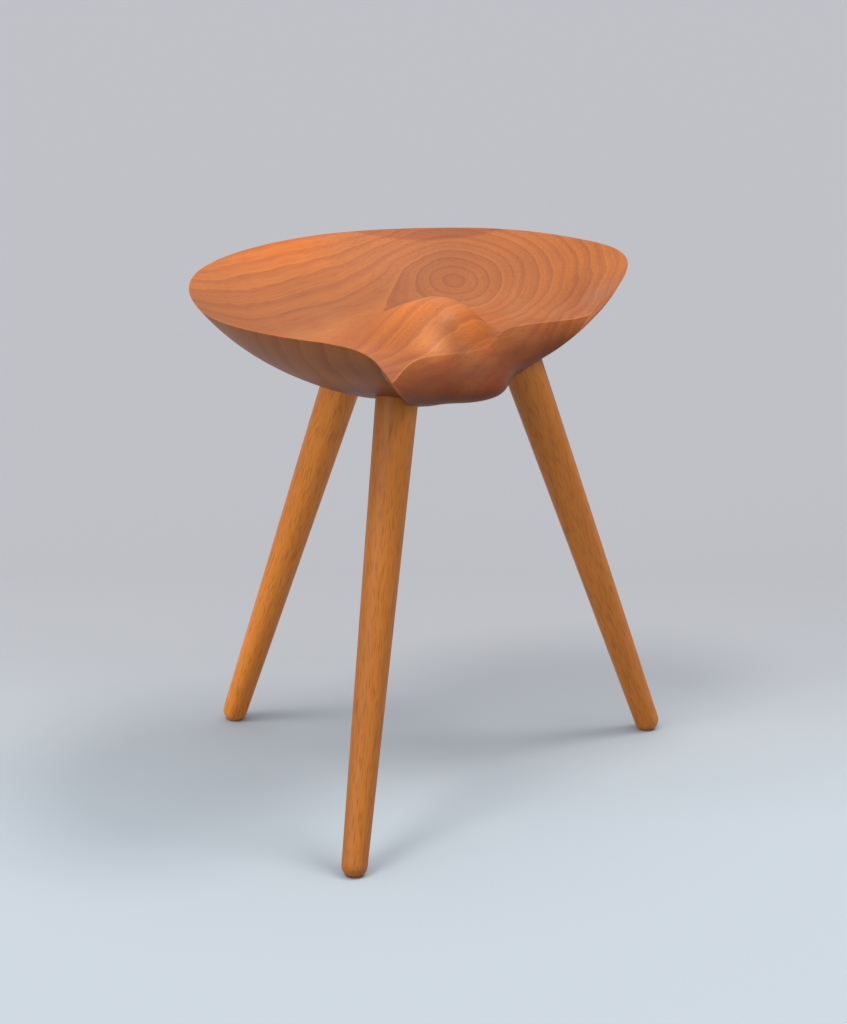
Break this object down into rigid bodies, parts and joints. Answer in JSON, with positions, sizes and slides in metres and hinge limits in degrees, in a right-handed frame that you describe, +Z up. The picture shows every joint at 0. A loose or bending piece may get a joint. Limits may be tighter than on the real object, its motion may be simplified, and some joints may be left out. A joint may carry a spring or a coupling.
{
  "type": "three-legged stool",
  "caption": "Low wooden stool: one carved saddle seat with two thigh channels and a rounded pommel, on splayed tapered round legs.",
  "frame": {"origin": "on the floor, under the middle of the stool's bounding box", "axes": "+Z up; -Y is the front, where the pommel is, and the single leg is at +Y; +X to the right seen from the front"},
  "size_m": [0.4872, 0.366, 0.4901],
  "materials": {
    "seat": "satin oil",
    "front_right_leg": "satin oil",
    "front_left_leg": "satin oil",
    "back_leg": "satin oil"
  },
  "bodies": {
    "root": {"seat": "seat", "front_right_leg": "front_right_leg", "front_left_leg": "front_left_leg", "back_leg": "back_leg"}
  },
  "joints": []
}
